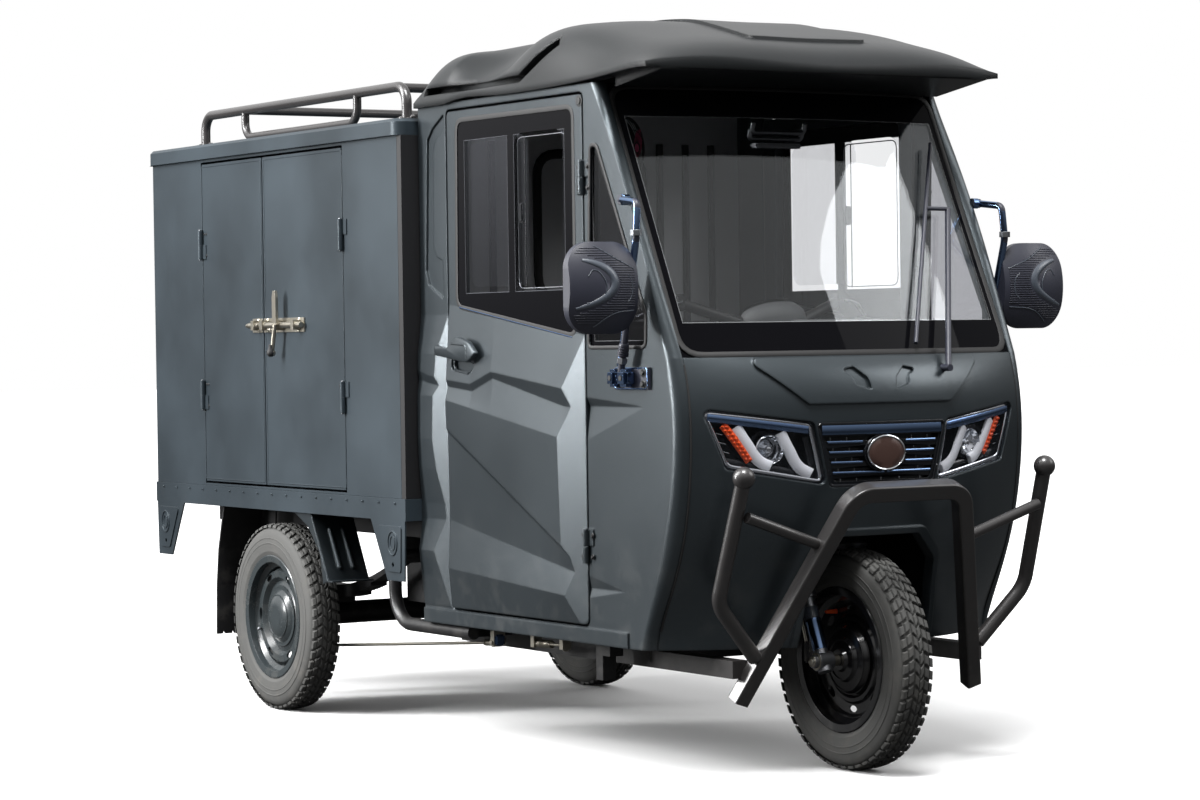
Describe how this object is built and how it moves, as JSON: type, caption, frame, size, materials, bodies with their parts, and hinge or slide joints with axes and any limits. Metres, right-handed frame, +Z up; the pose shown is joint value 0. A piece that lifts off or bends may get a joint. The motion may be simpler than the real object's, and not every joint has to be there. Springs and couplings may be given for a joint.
{
  "type": "electric cargo tricycle",
  "caption": "Electric cargo tricycle with an enclosed cab over one steered front wheel and a steel cargo box with side and tail doors.",
  "frame": {"origin": "middle of the whole outline, on the ground", "axes": "+X forward, +Y to the vehicle's left, +Z up"},
  "size_m": [2.9704, 1.3906, 1.7542],
  "materials": {
    "body_paint": "satin anthracite paint, fine leather-like grain",
    "box_paint": "satin anthracite powder coat on sheet steel",
    "frame_black": "semi-gloss black paint on steel tube",
    "gloss_black_tube": "gloss black powder coat",
    "black_plastic": "moulded, satin",
    "gloss_plastic_black": "moulded, gloss",
    "zinc": "zinc plated",
    "steel": "bare and machined steel",
    "clear_glass": "clear",
    "tinted_glass": "tinted, black ceramic border",
    "lamp_glass": "clear lens over chrome reflectors",
    "red_lens": "moulded lens",
    "tyre": "moulded tread",
    "wheel_grey": "satin dark grey steel wheel",
    "wheel_black": "gloss black steel wheel",
    "seat_cover": "grained black upholstery",
    "trim_grey": "interior trim, grained",
    "box_black": "satin black"
  },
  "bodies": {
    "root": {"chassis_rail_right": "frame_black", "chassis_rail_left": "frame_black", "chassis_cross_bars": "frame_black", "steering_head": "frame_black", "rear_axle": "frame_black", "drive_motor": "steel", "leaf_springs": "frame_black", "battery_case": "black_plastic", "mud_flaps": "black_plastic", "bed_frame": "box_paint", "box_floor": "box_paint", "box_front_wall": "box_black", "box_right_wall": "box_paint", "box_left_wall": "box_paint", "box_rear_frame": "box_paint", "box_roof": "box_paint", "roof_rack": "gloss_black_tube", "tail_lamps": "red_lens", "cab_side_right": "body_paint", "cab_side_left": "body_paint", "cab_front_panel": "body_paint", "cab_rear_wall": "trim_grey", "cab_floor": "frame_black", "cab_roof": "body_paint", "wheel_house": "black_plastic", "windshield": "clear_glass", "quarter_glass": "tinted_glass", "headlamps": "lamp_glass", "grille": "gloss_plastic_black", "seat_base": "trim_grey", "seat_cushion": "seat_cover", "dashboard": "trim_grey", "crash_bar": "gloss_black_tube", "mirrors": "gloss_plastic_black", "wiper": "frame_black", "inner_fenders": "body_paint", "outrigger_tubes": "frame_black", "step_brackets": "frame_black", "brake_rods": "zinc", "lamp_housings": "gloss_plastic_black"},
    "cargo_front_leaf": {"cargo_leaf_front": "box_paint", "cargo_latch": "zinc"},
    "cargo_rear_leaf": {"cargo_leaf_rear": "box_paint", "latch_keeper": "zinc"},
    "tail_leaf_right": {"tail_door_right": "box_paint"},
    "tail_leaf_left": {"tail_door_left": "box_paint"},
    "door_right": {"cab_door_right": "body_paint", "door_glass_right": "tinted_glass"},
    "door_left": {"cab_door_left": "body_paint", "door_glass_left": "tinted_glass"},
    "steering": {"fork": "steel", "handlebar": "frame_black"},
    "front_wheel": {"front_rim": "wheel_black", "front_tyre": "tyre"},
    "rear_wheel_right": {"rear_rim_right": "wheel_grey", "rear_tyre_right": "tyre"},
    "rear_wheel_left": {"rear_rim_left": "wheel_grey", "rear_tyre_left": "tyre"}
  },
  "joints": [
    {"name": "steer", "type": "hinge", "parent": "root", "child": "steering", "pos_m": [1.23175, 0, 0.2535], "axis": [-0.3907, 0, 0.9205], "range_deg": [-35, 35]},
    {"name": "front_wheel_spin", "type": "hinge", "parent": "steering", "child": "front_wheel", "pos_m": [1.23175, 0, 0.2535], "axis": [0, 1, 0], "continuous": true},
    {"name": "rear_wheel_right_spin", "type": "hinge", "parent": "root", "child": "rear_wheel_right", "pos_m": [-0.72725, -0.4855, 0.2535], "axis": [0, 1, 0], "continuous": true},
    {"name": "rear_wheel_left_spin", "type": "hinge", "parent": "root", "child": "rear_wheel_left", "pos_m": [-0.72725, 0.4855, 0.2535], "axis": [0, 1, 0], "continuous": true},
    {"name": "door_right_swing", "type": "hinge", "parent": "root", "child": "door_right", "pos_m": [0.87075, -0.494, 0.95], "axis": [0, 0, 1], "range_deg": [0, 70]},
    {"name": "door_left_swing", "type": "hinge", "parent": "root", "child": "door_left", "pos_m": [0.87075, 0.494, 0.95], "axis": [0, 0, -1], "range_deg": [0, 70]},
    {"name": "cargo_front_leaf_swing", "type": "hinge", "parent": "root", "child": "cargo_front_leaf", "pos_m": [-0.25625, -0.542, 1.05], "axis": [0, 0, 1], "range_deg": [0, 150]},
    {"name": "cargo_rear_leaf_swing", "type": "hinge", "parent": "root", "child": "cargo_rear_leaf", "pos_m": [-1.12025, -0.542, 1.05], "axis": [0, 0, -1], "range_deg": [0, 150]},
    {"name": "tail_door_right_swing", "type": "hinge", "parent": "root", "child": "tail_leaf_right", "pos_m": [-1.46225, -0.503, 1.05], "axis": [0, 0, 1], "range_deg": [0, 150]},
    {"name": "tail_door_left_swing", "type": "hinge", "parent": "root", "child": "tail_leaf_left", "pos_m": [-1.46225, 0.503, 1.05], "axis": [0, 0, -1], "range_deg": [0, 150]}
  ]
}
